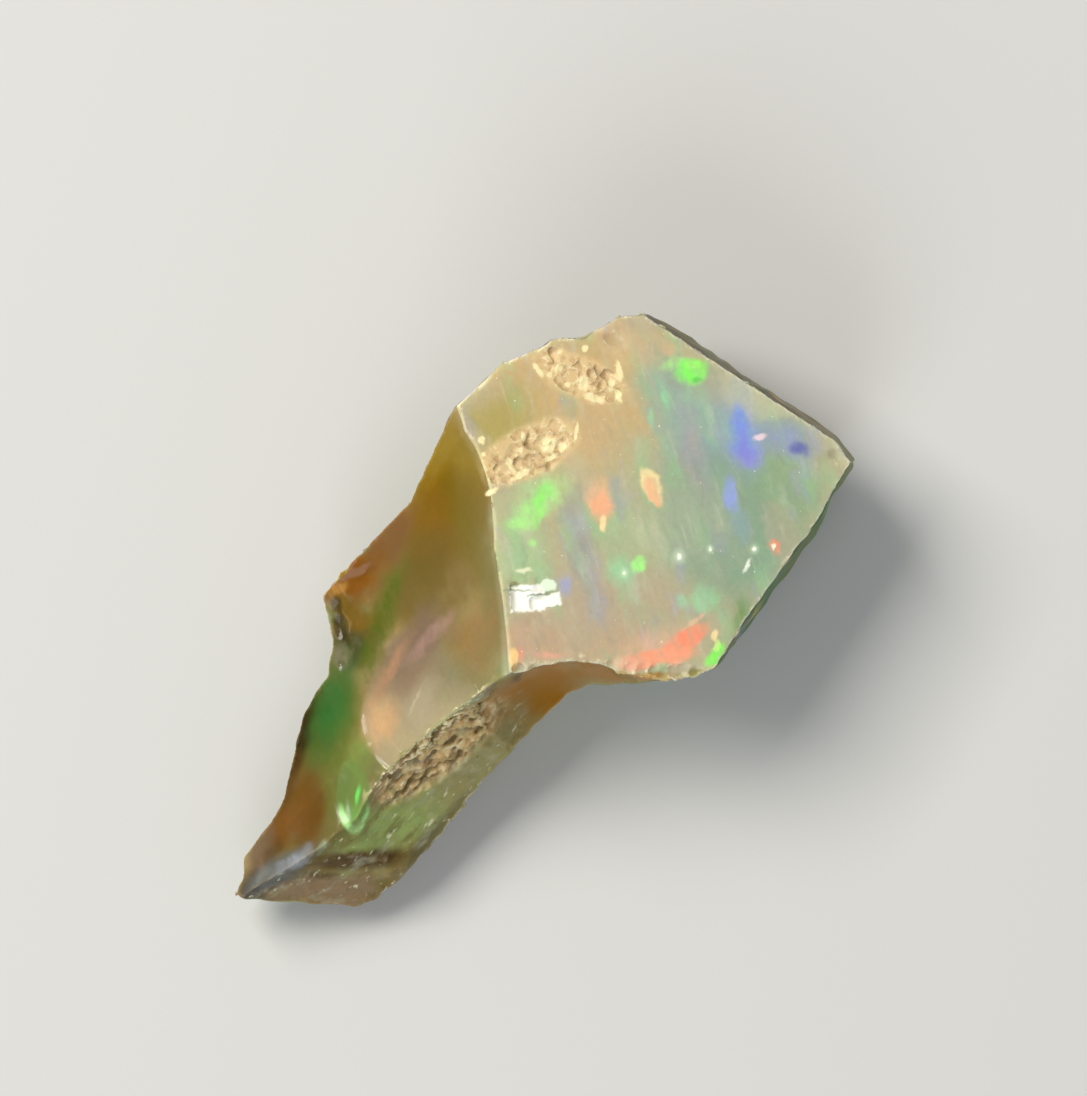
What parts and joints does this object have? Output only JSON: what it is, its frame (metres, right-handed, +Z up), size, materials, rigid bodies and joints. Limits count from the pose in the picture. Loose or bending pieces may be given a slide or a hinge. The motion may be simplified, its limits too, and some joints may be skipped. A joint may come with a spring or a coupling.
{
  "type": "rough opal",
  "caption": "Rough chip of milky precious opal with a broad broken head, a tapering tail, hollow conchoidal faces and a flat underside that it lies on.",
  "frame": {"origin": "on the surface the stone lies on, under the middle of its outline", "axes": "+X along the stone's length from the thin tail to the broad head, +Y towards the long hollow face's side, +Z up"},
  "size_m": [0.0208, 0.0102, 0.0075],
  "materials": {
    "milky_opal": "gloss"
  },
  "bodies": {
    "root": {"opal": "milky_opal"}
  },
  "joints": []
}
